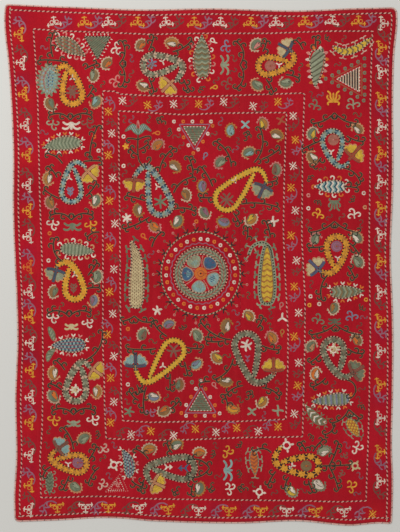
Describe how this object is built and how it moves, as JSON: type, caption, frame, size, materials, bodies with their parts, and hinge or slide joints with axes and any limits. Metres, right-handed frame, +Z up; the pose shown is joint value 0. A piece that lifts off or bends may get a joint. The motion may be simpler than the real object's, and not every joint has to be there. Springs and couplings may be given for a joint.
{
  "type": "suzani, an embroidered wool cover laid flat",
  "caption": "Flat red wool cover with borders, a round medallion, paislies and leaf sprays in coloured silk chain stitch, edged with braid.",
  "frame": {"origin": "on the floor, under the middle of the outline's box", "axes": "+X across the width, +Y up the length, +Z up, out of the embroidered face"},
  "size_m": [1.8096, 2.3986, 0.003],
  "materials": {
    "wool_red": "fulled plain wool, matt, slightly faded",
    "braid_crimson": "narrow woven braid",
    "silk_cream": "cream silk chain stitch, soft sheen",
    "silk_gold": "yellow to ochre silk chain stitch, soft sheen",
    "silk_orange": "orange silk chain stitch, soft sheen",
    "silk_green": "sage green silk chain stitch, soft sheen",
    "silk_blue": "teal to light blue silk chain stitch, soft sheen",
    "silk_mauve": "mauve silk chain stitch, soft sheen",
    "silk_pink": "pink silk chain stitch, soft sheen",
    "silk_brown": "brown silk chain stitch, soft sheen",
    "silk_black": "black silk chain stitch, soft sheen"
  },
  "bodies": {
    "root": {"wide_panel": "wool_red", "narrow_panel": "wool_red", "braid_upper": "braid_crimson", "braid_right": "braid_crimson", "braid_lower": "braid_crimson", "braid_left": "braid_crimson"}
  },
  "joints": []
}
